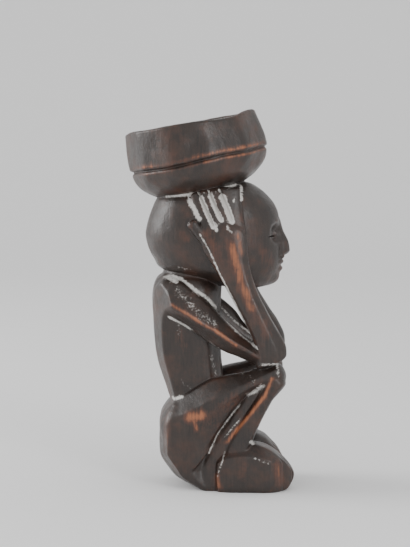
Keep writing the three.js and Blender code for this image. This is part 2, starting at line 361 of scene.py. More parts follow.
def pelvis():
    rows = [
        [-5, -8, -2, 3.4, 18],
        [-1, -13, -4, 4.4, 21.8],
        [1, -15.4, -6, 4.8, 22.8],
        [5.7, -19.6, -9, 5.4, 24],
        [11.1, -23.6, -11, 6, 24.8],
        [16, -25.4, -12, 6.5, 25.3],
        [27, -25.6, -12, 6.5, 25.5],
        [34, -25.2, -12, 6.5, 24],
        [38.4, -23.2, -11, 6, 21.5],
        [43.5, -19.3, -10, 5, 16.5],
    ]
    flats = ((90, 0.97), (150, 1.05), (180, 0.98))
    return column(rows, power=(2.8, 3.6), cap=(4, 2.5), flats=flats)


def flat_cut(side, facing, distance, low, high):
    """The wood beyond a plane that faces (ahead, outward, up), within a box of x and z."""
    n = np.array(facing, float) / np.linalg.norm(facing)

    def depth(points):
        outward = np.hypot(points[:, 1], 2.0)
        return distance - points[:, 0] * n[0] - outward * n[1] - points[:, 2] * n[2]

    ends = [(low[0], 0, low[1]), (high[0], side["sign"] * 40, high[1])]
    return Form(depth, np.min(ends, axis=0), np.max(ends, axis=0))


def heel_hollow(side):
    """The block is cut back below the thigh's under edge, least at the seat and the ground."""
    edge_point = np.array([-9.9, 7.9])
    facing = np.array([0.747, -0.665])

    def depth(points):
        x, z = points[:, 0], points[:, 2]
        below = (points[:, [0, 2]] - edge_point) @ facing
        floor = 20 + 0.5 * np.maximum(-x - 2, 0) + 0.22 * np.maximum(9 - z, 0)
        outward = points[:, 1] * side["sign"] - floor
        return -soft_min(below, outward, 0.8)

    low = np.minimum((-16, side["sign"] * 18, -6), (20, side["sign"] * 30, -6))
    high = np.maximum((-16, side["sign"] * 18, 32), (20, side["sign"] * 30, 32))
    return Form(depth, low, high)


def neck():
    rows = [
        [88, -20, -8, 4.7, 13],
        [97, -22, -8, 5.6, 14],
        [106, -23.4, -8, 7, 16],
        [114, -22, -8, 9, 17],
    ]
    return column(rows, power=(2.2, 2.2))


def skull():
    rows = [
        [97.4, 12, 18, 25, 8],
        [100, 2, 14, 30.4, 13.5],
        [104, -14, 8, 33.4, 18.2],
        [108, -24.5, 3, 35, 21.5],
        [113, -28, 0, 35.4, 23.4],
        [118, -30.5, -1, 35.4, 24.6],
        [124, -31.9, -2, 35.2, 25.2],
        [130, -31.3, -2, 34.8, 25.3],
        [137.4, -29, -2, 33.4, 24.4],
        [143.6, -26, -2, 29.2, 22.2],
        [149, -20, -2, 22.6, 18],
        [153, -12, 0, 14, 11],
    ]
    return column(rows, power=(2.15, 2.15), cap=(2.5, 3))


def eye_limb(sign, ahead, behind, outer, inner, rise=0.0):
    return limb(
        (FACE_X - 2.8, sign * (EYE_Y - 5.2), EYE_Z + rise),
        (FACE_X - 9, sign * (EYE_Y + 5), EYE_Z - 0.4 + rise),
        UP,
        FORWARD,
        [[0, ahead, behind, outer, inner], [12, ahead, behind, outer, inner]],
        cap=(5.7, 5.7),
    )


def head():
    steps = []
    for side in SIDES:
        sign = side["sign"]
        socket = ball((FACE_X + 1.2, sign * (EYE_Y + 0.8), EYE_Z + 0.6), (6.8, 8.6, 5.8))
        steps.append(("cut", socket, 2.0))
    nose = limb(
        (FACE_X - 3.4, 0, BROW_Z + 2),
        (FACE_X - 0.6, 0, NOSE_Z - 1.4),
        FORWARD,
        LEFT,
        [[0, 2.2, 3, 2.4, 2.4], [8, 3.6, 3, 2.8, 2.8], [14, 5.4, 3, 4, 4], [19.4, 5.6, 3, 5.4, 5.4]],
        power=(1.8, 2),
        cap=(3, 2.6),
    )
    steps.append(("add", nose, 1.8))
    upper_lip = ball((FACE_X - 3, 0, MOUTH_Z + 1.7), (4.2, 7.4, 2.1))
    lower_lip = ball((FACE_X - 3.4, 0, MOUTH_Z - 1.7), (4.2, 6.4, 2.2))
    steps.append(("add", assembled(upper_lip, ("add", lower_lip, 0.3)), 0.8))
    steps.append(("add", ball((FACE_X - 5.4, 0, CHIN_Z + 5.4), (4.4, 7, 3.8)), 2.6))
    for side in SIDES:
        sign = side["sign"]
        steps.append(("add", eye_limb(sign, 2.7, 2.3, 1.9, 3), 0.5))
        steps.append(("cut", eye_limb(sign, 0.35, 0.35, 3.6, 0.6, rise=-0.5), 0.3))
        wing = ball((FACE_X - 1.2, sign * 4.1, NOSE_Z - 0.6), (2.8, 2.2, 2.2))
        steps.append(("add", wing, 0.8))
        nostril = ball((FACE_X + 1.8, sign * 2.5, NOSE_Z - 3.2), (1.6, 1.1, 1.3))
        steps.append(("cut", nostril, 0.4))
    return assembled(skull(), *steps)


def arm(side):
    sign, crook, reach = side["sign"], side["crook"], side["reach"]
    out = LEFT * sign
    upper = limb(
        (-27.4, sign * 16.2, 97.8),
        (27, sign * 23.5, 65.3),
        UP,
        out,
        [
            [0, 12, 7, 8, 8],
            [8.4, 12.4, 6.8, 10.2, 9],
            [15.4, 11, 6.7, 11.4, 9],
            [22.4, 10.1 + crook * 0.4, 6.9, 11.2, 8.5],
            [34.4, 6.8 + crook, 7.4, 9.6, 7.5],
            [42.4, 5 + crook, 7.8, 8.4, 7],
            [50.4, 3.6 + crook * 0.5, 6.6, 7.4, 6.5],
            [63.4, 4, 4.4, 6.8, 6.5],
        ],
        power=(1.9, 1.9),
        cap=(14, 3),
        flats=((52, 0.85), (128, 0.86)),
    )
    fore = limb(
        (31, sign * 23.5, 61.8),
        (4.5, sign * 27, 131.5),
        FORWARD,
        out,
        [
            [0, 7 + reach, 9, 6.5, 6.5],
            [7, 9.2 + reach, 7, 7.4, 7],
            [15, 8.4 + reach, 5, 7.4, 7],
            [24, 7 + reach * 0.5, 5.7, 7, 6.6],
            [34, 5.8, 6.8, 6.4, 6],
            [42, 5.8, 7.8, 5.8, 5.4],
            [51, 6.7, 9.2, 5, 5],
            [60, 9, 10.9, 4.4, 5],
            [68, 10.6, 12.2, 3.8, 5],
            [75, 10.4, 12.2, 3.2, 5],
        ],
        power=(2.4, 2.4),
        cap=(3, 11),
        flats=((48, 0.99), (90, 0.93)),
    )
    return assembled(upper, ("add", fore, 0.6))


# The straight grooves that part the fingers: [foot x, foot z, tip x, tip z, half width].
FINGER_GROOVES = ((1.8, 130.4, -7.5, 151, 0.7), (5.8, 133.2, -2.6, 152, 0.7), (10.8, 132.6, 3.4, 151, 1.0))


def hand(side):
    sign = side["sign"]
    out = LEFT * sign
    palm = limb(
        (6, sign * 27, 118),
        (2.5, sign * 20.6, 149),
        FORWARD,
        out,
        [
            [0, 12, 9.5, 3.4, 5],
            [9, 12.2, 9.6, 3.6, 5],
            [17, 11.8, 9.6, 3.8, 6],
            [26, 12, 12, 3.6, 6],
            [31.7, 11.8, 13, 3.2, 7],
        ],
        power=(3.2, 3.2),
        cap=(4, 3),
    )
    thumb = limb(
        (0.5, sign * 26, 119.5),
        (-9.8, sign * 25.4, 132.6),
        FORWARD,
        out,
        [[0, 3.4, 2.8, 3, 4], [9, 3, 2.6, 2.6, 4], [16.7, 2.6, 2.4, 2, 4]],
        power=(2.3, 2.3),
        cap=(2, 2),
    )
    cuts = []
    for foot_x, foot_z, tip_x, tip_z, half in FINGER_GROOVES:
        groove = limb(
            (foot_x, sign * 29, foot_z),
            (tip_x, sign * 24, tip_z),
            FORWARD,
            out,
            [[0, half, half, 4, 2.2], [22, half, half, 4, 2.6]],
        )
        cuts.append(("cut", groove, 0.5))
    return assembled(palm, *cuts, ("add", thumb, 0.6))


def leg(side):
    sign, toe_x, instep = side["sign"], side["toe_x"], side["instep"]
    out = LEFT * sign
    toe = toe_x - RIGHT_SIDE["toe_x"]
    thigh = limb(
        (-23, sign * 14, 29.4),
        (36, sign * 23.1, 60.8),
        UP,
        out,
        [
            [0, 8.5, 19, 9.4, 12],
            [10.7, 9.6, 22.6, 10.8, 12],
            [20.7, 10.5, 16.6, 11, 11],
            [31.7, 11, 10, 11, 9.5],
            [42.7, 8.8, 4.8, 9.8, 8.4],
            [48.7, 6.8, 3.8, 9, 7.8],
            [54.7, 5.8, 4.4, 8.2, 7.4],
            [60.7, 5, 6.4, 7.6, 7],
            [67.4, 4, 7, 6.8, 6.4],
        ],
        power=(2, 2.6),
        cap=(18, 4),
        flats=((48, 0.87), (122, 0.97)),
    )
    shin = limb(
        (33.5, sign * 23, 58.5),
        (13.5, sign * 16.5, 15),
        FORWARD,
        out,
        [
            [0, 4.6, 6, 6.6, 7],
            [4, 5.7, 5, 7.4, 7],
            [9, 4.6, 4.1, 7.4, 7],
            [14, 3.3, 4.6, 7.2, 6.6],
            [30, 2.8, 7.1, 7.2, 6.2],
            [48.3, 4, 9, 8, 6.2],
        ],
        power=(2.4, 2.4),
        cap=(4, 3),
        flats=((98, 0.93),),
    )
    web = limb(
        (27, sign * 19.5, 54),
        (-2, sign * 13, -3),
        FORWARD,
        out,
        [[0, 5, 5, 4.4, 5], [22, 7.4, 7.4, 5.4, 5.5], [44, 9.4, 10, 7, 5], [64, 12, 11, 9, 5]],
        power=(3, 3),
    )
    foot = limb(
        (1.8, sign * 14.8, 7),
        (toe_x, sign * 15.6, 7),
        UP,
        out,
        [
            [0, 7, 10, 9, 8],
            [5.5, 12.5, 10, 11.5, 9.5],
            [12, 15 + instep, 10, 12.4, 10.5],
            [20 + toe * 0.3, 15.4 + instep, 10, 12.8, 11.6],
            [28 + toe * 0.6, 12.8 + instep, 9.4, 12.9, 12],
            [34 + toe, 8 + instep * 1.4, 8, 12, 11.6],
            [40 + toe, 2.8 + instep, 6.4, 8.4, 8.4],
        ],
        power=(4.5, 4.5),
        cap=(3, 5),
        flats=((38, 1.1), (90, 0.97)),
    )
    toe_facet = flat_cut(side, (0.66, 0.75, 0), 41.3 + toe * 0.66, (22, -6), (46, 24))
    foot = assembled(foot, ("cut", toe_facet, 1.2))
    return assembled(thigh, ("add", web, 0.6), ("add", shin, 0.5), ("add", foot, 0.6))


def soft_waist(points):
    return 0.8 + 3 * smooth_step(points[:, 0], -17, -9)


def soft_shoulder(points):
    return 0.7 + 3.5 * smooth_step(-points[:, 0], 15, 25)


def soft_hip(points):
    return 0.8 + 3.5 * smooth_step(-points[:, 0], 4, 18)


def carved_block():
    hollows = [("cut", heel_hollow(side), 0.8) for side in SIDES]
    steps = [("add", assembled(pelvis(), *hollows), soft_waist), ("add", neck(), 2.5)]
    for side in SIDES:
        back = flat_cut(side, (-0.863, 0.505, 0), 30.75, (-40, 60), (-10, 112))
        seat = flat_cut(side, (-0.793, 0.263, -0.55), 13.71, (-34, -6), (0, 34))
        under = flat_cut(side, (-0.485, 0.193, -0.853), 6.57, (-30, -6), (8, 20))
        steps += [("add", arm(side), soft_shoulder), ("cut", back, 0.8)]
        steps += [("add", leg(side), soft_hip), ("cut", seat, 0.7), ("cut", under, 1.5)]
        steps += [("add", hand(side), 0.5)]
    steps += [("add", head(), 0.8), ("add", bowl_outside(), 0.6), ("cut", bowl_cavity(), 1.2)]
    return assembled(torso(), *steps)


# Carving laid on the surface: the groove round the bowl, toes, knife scoops and dents.


def seeded_cells(seed, size, low, high):
    """Jittered centres of a box grid of cells, as an array indexed by cell."""
    counts = np.ceil((np.array(high) - low) / size).astype(int) + 4
    rng = np.random.default_rng(seed)
    grid = np.stack(np.meshgrid(*[np.arange(n) for n in counts], indexing="ij"), axis=-1)
    return grid + rng.random(grid.shape) - 2, counts


class Scoops:
    """Shallow hollows left by a knife, lowest at each cell's middle, with ridges between."""

    def __init__(self, seed, size, low, high):
        self.size = np.array(size, float)
        self.low = np.array(low, float)
        self.centres, self.counts = seeded_cells(seed, self.size, self.low, high)

    def at(self, points):
        q = (points - self.low) / self.size
        home = np.floor(q).astype(int) + 2
        nearest = np.full(len(q), 9.0)
        for dx in (-1, 0, 1):
            for dy in (-1, 0, 1):
                for dz in (-1, 0, 1):
                    cell = np.clip(home + (dx, dy, dz), 0, self.counts - 1)
                    centre = self.centres[cell[:, 0], cell[:, 1], cell[:, 2]]
                    nearest = np.minimum(nearest, ((q - centre) ** 2).sum(axis=1))
        return np.minimum(nearest, 1.0)


class Noise:
    """Smooth noise from -1 to 1 on a repeating lattice."""

    COUNT = 32

    def __init__(self, seed, size):
        self.size = np.array(size, float)
        self.lattice = np.random.default_rng(seed).uniform(-1, 1, (self.COUNT,) * 3)

    def at(self, points):
        q = points / self.size
        base = np.floor(q).astype(int)
        t = q - base
        t = t * t * (3 - 2 * t)
        total = np.zeros(len(q))
        for corner in range(8):
            bits = np.array([corner & 1, corner >> 1 & 1, corner >> 2 & 1])
            cell = (base + bits) % self.COUNT
            weight = np.prod(np.where(bits, t, 1 - t), axis=1)
            total += weight * self.lattice[cell[:, 0], cell[:, 1], cell[:, 2]]
        return total


BOX_LOW, BOX_HIGH = (-46, -39, -6), (46, 39, 192)
scoops = Scoops(3, (7, 7, 12), BOX_LOW, BOX_HIGH)
wobble = Noise(5, (9, 9, 9))
ripple = Noise(8, (2.4, 2.4, 5))


def ridge_height(angle):
    """The bowl's groove isn't quite level: it steps down towards the back."""
    return 0.4 + 0.5 * np.sin(angle * 2 + 0.4) + 0.3 * np.sin(5 * angle + 1)


def relief(points):
    """How far the surface is cut in, in millimetres."""
    cut = 0.28 * (0.5 - scoops.at(points)) + 0.1 * wobble.at(points) + 0.04 * ripple.at(points)
    on_bowl = points[:, 2] > 138
    if on_bowl.any():
        radius, h, angle = bowl_axes(points[on_bowl])
        outside = radius > RIM_RADIUS - WALL + 2
        groove = 1.2 * bump(h, ridge_height(angle), 0.8) * outside
        dent = 0.7 * bump(h, 10, 3.6) * bump(np.degrees(angle), 88, 11) * outside
        cut[on_bowl] += groove + dent
    for side in SIDES:
        sign, toe_x = side["sign"], side["toe_x"]
        front = smooth_step(points[:, 0], toe_x - 9, toe_x - 3) * (points[:, 2] < 18)
        if front.any():
            for i in range(4):
                y = sign * (15.6 + (i - 1.5) * 4.7)
                cut += 0.9 * front * bump(points[:, 1], y, 0.7)
    return cut


block = carved_block()


def surface(points):
    points = points.astype(np.float32)
    value = block.at(points)
    close = np.abs(value) < 2.5
    if close.any():
        value[close] += relief(points[close])
    below = GROUND - points[:, 2]
    return soft_max(value, below, 0.3)


# From depths to a mesh.


def sampled_grid():
    """Depths on a fine grid, worked out only near the surface."""
    blocks = 4
    coarse = CELL * blocks
    low = np.array(BOX_LOW, float)
    counts = np.ceil((np.array(BOX_HIGH) - low) / coarse).astype(int)
    axes = [low[k] + (np.arange(counts[k]) + 0.5) * coarse - CELL / 2 for k in range(3)]
    centres = np.stack(np.meshgrid(*axes, indexing="ij"), axis=-1).reshape(-1, 3)
    value = surface(centres).reshape(counts)
    fine = np.kron(np.sign(value).astype(np.float32) * REACH, np.ones((blocks,) * 3, np.float32))
    near = np.abs(value) < coarse * 1.6
    cells = np.argwhere(np.kron(near, np.ones((blocks,) * 3, bool)))
    step = 400000
    for i in range(0, len(cells), step):
        part = cells[i : i + step]
        fine[part[:, 0], part[:, 1], part[:, 2]] = surface(low + part * CELL)
    return fine, low


def surface_nets(grid, low):
    """One vertex in each cell that the surface crosses, and a quad round each crossed edge."""
    inside = grid < 0
    corner = [(i, j, k) for i in (0, 1) for j in (0, 1) for k in (0, 1)]
    shape = np.array(grid.shape) - 1

    def shifted(array, c):
        return array[c[0] : c[0] + shape[0], c[1] : c[1] + shape[1], c[2] : c[2] + shape[2]]

    count = sum(shifted(inside, c).astype(np.int8) for c in corner)
    cells = np.argwhere((count > 0) & (count < 8))
    number = np.full(shape, -1, np.int64)
    number[tuple(cells.T)] = np.arange(len(cells))
    total = np.zeros((len(cells), 3))
    crossings = np.zeros(len(cells))
    for a in corner:
        for axis in range(3):
            if a[axis]:
                continue
            b = np.array(a)
            b[axis] = 1
            va = grid[tuple((cells + a).T)]
            vb = grid[tuple((cells + b).T)]
            crossed = (va < 0) != (vb < 0)
            t = va[crossed] / (va[crossed] - vb[crossed])
            place = np.tile(np.array(a, float), (crossed.sum(), 1))
            place[:, axis] += t
            total[crossed] += place
            crossings[crossed] += 1
    vertices = low + (cells + total / crossings[:, None]) * CELL
    quads = []
    for axis in range(3):
        u, v = (axis + 1) % 3, (axis + 2) % 3
        first = [slice(1, -1)] * 3
        second = [slice(1, -1)] * 3
        first[axis], second[axis] = slice(0, -1), slice(1, None)
        a, b = inside[tuple(first)], inside[tuple(second)]
        for leaving in (True, False):
            edges = np.argwhere(a & ~b if leaving else ~a & b)
            offset = np.ones(3, int)
            offset[axis] = 0
            edges = edges + offset
            ring = []
            for du, dv in ((-1, -1), (0, -1), (0, 0), (-1, 0)):
                cell = edges.copy()
                cell[:, u] += du
                cell[:, v] += dv
                ring.append(number[tuple(cell.T)])
            quad = np.stack(ring if leaving else ring[::-1], axis=1)
            quads.append(quad)
    return vertices, np.concatenate(quads)


def slopes(points, step=0.15):
    return np.stack(
        [(surface(points + step * e) - surface(points - step * e)) / (2 * step) for e in np.eye(3)],
        axis=1,
    )


def drawn_to_surface(vertices, rounds=2):
    for _ in range(rounds):
        value = surface(vertices)
        slope = slopes(vertices)
        move = value / np.maximum((slope**2).sum(axis=1), 0.05)
        move = np.clip(move, -CELL / 2, CELL / 2)
        vertices = vertices - slope * move[:, None]
    return vertices


def box_blur(array, radius, axis):
    padded = np.concatenate(
        [np.repeat(array.take([0], axis), radius + 1, axis), array, np.repeat(array.take([-1], axis), radius, axis)],
        axis=axis,
    )
    sums = np.cumsum(padded, axis=axis, dtype=np.float64)
    width = 2 * radius + 1
    n = array.shape[axis]
    ahead = sums.take(np.arange(width, width + n), axis)
    behind = sums.take(np.arange(0, n), axis)
    return ((ahead - behind) / width).astype(np.float32)


def fullness(grid, size):
    """The share of wood within about size mm of each grid point: a half on flat ground."""
    full = np.clip(0.5 - grid / CELL, 0, 1).astype(np.float32)
    radius = max(int(round(size / CELL / 1.8)), 1)
    for _ in range(2):
        for axis in range(3):
            full = box_blur(full, radius, axis)
    return full


def sampled(grid, low, points):
    q = (points - low) / CELL
    base = np.clip(np.floor(q).astype(int), 0, np.array(grid.shape) - 2)
    t = q - base
    total = np.zeros(len(points))
    for i in (0, 1):
        for j in (0, 1):
            for k in (0, 1):
                w = np.where(i, t[:, 0], 1 - t[:, 0]) * np.where(j, t[:, 1], 1 - t[:, 1])
                w = w * np.where(k, t[:, 2], 1 - t[:, 2])
                total += w * grid[base[:, 0] + i, base[:, 1] + j, base[:, 2] + k]
    return total


grid, grid_low = sampled_grid()
vertices, quads = surface_nets(grid, grid_low)
vertices = drawn_to_surface(vertices)
print("vertices", len(vertices), "quads", len(quads))

mesh = bpy.data.meshes.new("carved_block")
mesh.from_pydata(vertices.tolist(), [], quads.tolist())
mesh.update()
carving = bpy.data.objects.new("carved_block", mesh)
bpy.context.collection.objects.link(carving)
triangles = 2 * len(quads)
if triangles > MOST_TRIANGLES:
    thin = carving.modifiers.new("thin", "DECIMATE")
    thin.ratio = MOST_TRIANGLES / triangles
    evaluated = carving.evaluated_get(bpy.context.evaluated_depsgraph_get())
    mesh = bpy.data.meshes.new_from_object(evaluated)
    carving.modifiers.clear()
    carving.data = mesh

places = np.empty(len(mesh.vertices) * 3)
mesh.vertices.foreach_get("co", places)
places = places.reshape(-1, 3)
normals = slopes(places, 0.2)
normals /= np.linalg.norm(normals, axis=1)[:, None]

near_full = sampled(fullness(grid, 1.4), grid_low, places)
wide_full = sampled(fullness(grid, 4.5), grid_low, places)
edge = np.clip((0.5 - near_full) * 4, 0, 1)
hollow = np.clip((near_full - 0.5) * 4, 0, 1)
pit = np.clip((wide_full - 0.5) * 3, 0, 1)


def add_attribute(name, values):
    attribute = mesh.attributes.new(name, "FLOAT", "POINT")
    attribute.data.foreach_set("value", np.asarray(values, np.float32))


# Marks on the figure's sides, as lines of (x, height above the ground) seen from the side.
# Dust and one painted highlight line: [radius, strength, how far it keeps to hollows, line].
DUST_AND_SHEEN = (
    (1.5, 1.0, 0.0, ((-10, 143.7), (-5.3, 134.9))),
    (1.4, 1.2, 0.0, ((-4.3, 145), (-1.5, 138), (1.5, 131.5))),
    (1.4, 1.2, 0.0, ((0.3, 146), (2.4, 140), (5.5, 134.4))),
    (1.7, 1.3, 0.0, ((6, 145.5), (8.3, 140), (10.5, 133.9))),
    (0.9, 1.0, 0.0, ((15.4, 151.5), (15.2, 144))),
    (0.8, 0.8, 0.0, ((11.2, 143.6), (12.4, 145.2))),
    (1.0, 0.9, 0.0, ((2.6, 131.3), (3.4, 129.4))),
    (1.0, 0.7, 0.0, ((8.4, 131.6), (9.0, 129.6), (10.4, 128.8))),
    (1.5, 0.8, 0.6, ((-26, 145.9), (-12, 146.1), (2.4, 148.1), (16.5, 151.5))),
    (0.7, 0.8, 0.1, ((-5, 127.5), (-0.5, 120), (4.4, 109), (11, 96), (17, 84))),
    (2.4, 0.9, 0.2, ((-27, 108), (-22, 106.5), (-17, 104.5))),
    (1.2, 0.8, 0.5, ((-16, 110.8), (-9, 109.6))),
    (1.1, 1.0, 0.2, ((-18, 105.8), (-13.5, 104.6), (-9.6, 101.6), (-1.5, 95.8), (2.4, 91.2))),
    (1.7, 0.8, 0.1, ((-8, 100.5), (-5, 98.2))),
    (0.9, 1.0, 0.2, ((2.4, 91.2), (6.7, 86.4), (12.6, 80.2), (18, 76), (23, 72))),
    (3.6, 0.45, 0.0, ((-16, 100), (-6, 90), (2, 84))),
    (1.0, 0.9, 0.2, ((-20.2, 86.4), (-15, 84), (-9.6, 80.7))),
    (0.8, 0.7, 0.4, ((-9.6, 80.7), (-2, 75.8), (5.6, 70.5))),
    (1.8, 0.45, 0.0, ((-16.5, 84.5), (-15, 77.5))),
    (1.0, 0.9, 0.3, ((24, 64), (33, 64.2))),
    (1.2, 0.8, 0.3, ((32.8, 63), (33.2, 58.5))),
    (1.4, 0.8, 0.4, ((0.5, 67), (1.5, 62), (3, 57.5))),
    (3.2, 0.4, 0.0, ((12, 61), (21, 57))),
    (1.3, 1.0, 0.2, ((-21, 45), (-17, 45.6), (-14, 46.5))),
    (2.0, 0.7, 0.1, ((19, 48.5), (25.5, 53))),
    # This pale line on the thigh's under edge is partly dust and partly a painted highlight.
    (0.7, 0.7, 0.0, ((14.8, 43.4), (10.2, 37.4), (4, 29), (-0.6, 19))),
    (0.7, 0.7, 0.2, ((14.5, 36), (7.3, 27))),
    (1.3, 1.0, 0.2, ((20.3, 25), (21.2, 24))),
    (0.7, 0.6, 0.0, ((7.2, 19.7), (3.2, 6.5))),
    (1.0, 0.5, 0.0, ((21, 17.8), (28.7, 14.8))),
    (2.6, 0.35, 0.0, ((-13, 54), (-10, 50))),
)
# Wear: [radius, strength, line].
WEAR = (
    (3.2, 1.0, ((10, 122), (13, 112), (15.5, 103), (20, 92))),
    (3.6, 0.6, ((-2, 128), (4, 119))),
    (2.0, 0.8, ((13.5, 128), (15, 118))),
    (3.0, 0.5, ((24, 86), (28, 78))),
    (1.3, 1.0, ((-18.6, 93.3), (-9.6, 88), (-3.1, 83.6), (3.3, 80.3), (12.6, 73.5))),
    (3.4, 1.2, ((-9.5, 37.5), (-4.5, 38.8))),
    (1.6, 1.0, ((-7.5, 36), (-6.8, 31.5))),
    (4.5, 0.5, ((-2, 36), (6, 42), (12, 47))),
    (1.4, 1.1, ((30.2, 57), (27.1, 49), (20.8, 40.4), (14.1, 32), (8.2, 24.6))),
    (2.2, 0.6, ((-21, 36), (-21.5, 24))),
    (2.0, 0.9, ((3.4, 8), (4.6, 3))),
    (2.6, 0.5, ((18, 15.5), (15, 9))),
    (3.6, 0.7, ((33, 13), (34.5, 6))),
    (2.6, 0.6, ((-13, 127), (-11, 125))),
    (4.0, 0.4, ((26, 118), (28, 113))),
    (3.0, 0.45, ((-16, 78), (-12, 70))),
)


def line_distance(x, z, line):
    """The distance in the side view from points to a line of straight pieces."""
    nearest = np.full(len(x), 1e3)
    for (ax, az), (bx, bz) in zip(line, line[1:]):
        dx, dz = bx - ax, bz - az
        t = np.clip(((x - ax) * dx + (z - az) * dz) / (dx * dx + dz * dz), 0, 1)
        nearest = np.minimum(nearest, np.hypot(x - ax - t * dx, z - az - t * dz))
    return nearest


def side_marks(places, hollow):
    """Dust, wear and a painted highlight line at the mesh's points: full on the right side, fainter on the left."""
    x, y, z = places[:, 0], places[:, 1], places[:, 2] - GROUND
    share = smooth_step(np.abs(y), 8, 14) * np.where(y < 0, 1, 0.75)
    dust_and_sheen, wear = np.zeros(len(x)), np.zeros(len(x))
    for radius, strength, keeps, line in DUST_AND_SHEEN:
        mark = strength * bump(line_distance(x, z, line), 0, radius)
        dust_and_sheen = np.maximum(dust_and_sheen, mark * (1 - keeps + keeps * np.minimum(hollow * 2, 1)))
    for radius, strength, line in WEAR:
        wear = np.maximum(wear, strength * bump(line_distance(x, z, line), 0, radius))
    return dust_and_sheen * share, wear * share


def bowl_wear(places):
    """Both lips of the bowl's groove are worn, most at its right front."""
    radius, h, angle = bowl_axes(places)
    degrees = np.degrees(angle)
    lips = bump(h, ridge_height(angle) + 2.2, 1.3) + 0.9 * bump(h, ridge_height(angle) - 1.4, 1.0)
    most = bump(degrees, 55, 42) + 0.6 * bump(degrees, 140, 22) + 0.25
    return lips * np.minimum(most, 1) * (radius > RIM_RADIUS - WALL + 2)


dust_and_sheen, wear = side_marks(places, hollow)
wear = np.maximum(wear, bowl_wear(places))
add_attribute("edge", edge)
add_attribute("hollow", hollow)
add_attribute("pit", pit)
add_attribute("dust_and_sheen", dust_and_sheen)
add_attribute("wear", wear)

metres = (places - (0, 0, GROUND)) / 1000
mesh.vertices.foreach_set("co", metres.ravel())
mesh.update()
mesh.polygons.foreach_set("use_smooth", np.ones(len(mesh.polygons), bool))
mesh.normals_split_custom_set_from_vertices(normals.tolist())
print("kept triangles", sum(len(p.vertices) - 2 for p in mesh.polygons))


# Materials.


class Nodes:
    """Short ways to add the nodes of one material."""

    def __init__(self, material):
        self.tree = material.node_tree

    def add(self, kind, inputs=None, **settings):
        node = self.tree.nodes.new(kind)
        for name, value in settings.items():
            setattr(node, name, value)
        for name, value in (inputs or {}).items():
            socket = node.inputs[name]
            if isinstance(value, bpy.types.NodeSocket):
                self.tree.links.new(value, socket)
            else:
                socket.default_value = value
        return node

    def attribute(self, name):
        return self.add("ShaderNodeAttribute", attribute_name=name).outputs["Fac"]

    def millimetres(self, scale=(1, 1, 1)):
        """The object's own coordinates in millimetres, squeezed by scale."""
        source = self.add("ShaderNodeTexCoord").outputs["Object"]
        full = [1000 * s for s in scale]
        mapping = self.add("ShaderNodeMapping", {"Vector": source, "Scale": full})
        return mapping.outputs["Vector"]

    def noise(self, vector, size, detail=3.0, roughness=0.55, distortion=0.0):
        inputs = {"Vector": vector, "Scale": 1 / size, "Detail": detail}
        inputs.update({"Roughness": roughness, "Distortion": distortion})
        return self.add("ShaderNodeTexNoise", inputs).outputs["Fac"]

    def maths(self, operation, a, b=0.5, c=0.5, clamp=False):
        node = self.add("ShaderNodeMath", {0: a, 1: b, 2: c}, operation=operation, use_clamp=clamp)
        return node.outputs[0]

    def range(self, value, low, high, to_low=0.0, to_high=1.0):
        inputs = {"Value": value, "From Min": low, "From Max": high}
        inputs.update({"To Min": to_low, "To Max": to_high})
        return self.add("ShaderNodeMapRange", inputs, clamp=True).outputs["Result"]

    def mix(self, factor, a, b):
        colours = [(*c, 1) if isinstance(c, tuple) else c for c in (a, b)]
        inputs = {0: factor, 6: colours[0], 7: colours[1]}
        return self.add("ShaderNodeMix", inputs, data_type="RGBA").outputs[2]

    def mix_number(self, factor, a, b):
        return self.add("ShaderNodeMix", {0: factor, 2: a, 3: b}, data_type="FLOAT").outputs[0]


def plain_material(name, colour, roughness):
    material = bpy.data.materials.new(name)
    material.use_nodes = True
    shader = material.node_tree.nodes["Principled BSDF"]
    shader.inputs["Base Color"].default_value = (*colour, 1)
    shader.inputs["Roughness"].default_value = roughness
    return material


BLACK_BROWN = (0.014, 0.010, 0.0085)
DARK_BROWN = (0.036, 0.022, 0.0165)
RED_BROWN = (0.085, 0.032, 0.018)
WORN_ORANGE = (0.36, 0.125, 0.052)
PALE_DUST_AND_SHEEN = (0.62, 0.60, 0.57)
GREY_FILM = (0.11, 0.10, 0.094)


